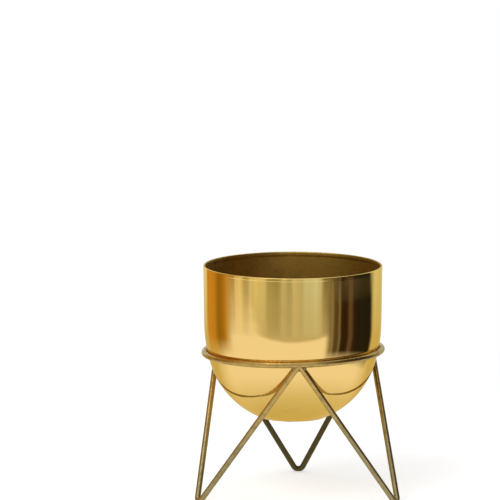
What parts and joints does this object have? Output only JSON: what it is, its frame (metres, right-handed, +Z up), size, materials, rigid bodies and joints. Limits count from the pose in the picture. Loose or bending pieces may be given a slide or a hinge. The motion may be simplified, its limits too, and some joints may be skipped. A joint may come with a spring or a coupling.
{
  "type": "planter pot with stand",
  "caption": "Round-bottomed spun brass planter bowl with a flat base and hemmed rim, resting in a hoop stand on hairpin legs bent from round bar.",
  "frame": {"origin": "centre of the bounding box's footprint, on the floor", "axes": "+Z up, the front weld and the two front feet towards -Y, +X to the right of someone facing the front"},
  "size_m": [0.2052, 0.2088, 0.2325],
  "materials": {
    "polished_brass": "mirror polished and lacquered",
    "antique_brass": "satin, antiqued",
    "weld_brass": "weld bead, antiqued"
  },
  "bodies": {
    "stand": {"stand_hoop": "antique_brass", "hoop_seam_weld": "weld_brass", "leg_left": "antique_brass", "leg_right": "antique_brass", "leg_back": "antique_brass", "weld_front": "weld_brass", "weld_back_left": "weld_brass", "weld_back_right": "weld_brass"},
    "bowl": {"bowl": "polished_brass"}
  },
  "joints": [
    {"name": "bowl_lift", "type": "slide", "parent": "stand", "child": "bowl", "axis": [0, 0, 1], "range_m": [0, 0.12]}
  ]
}
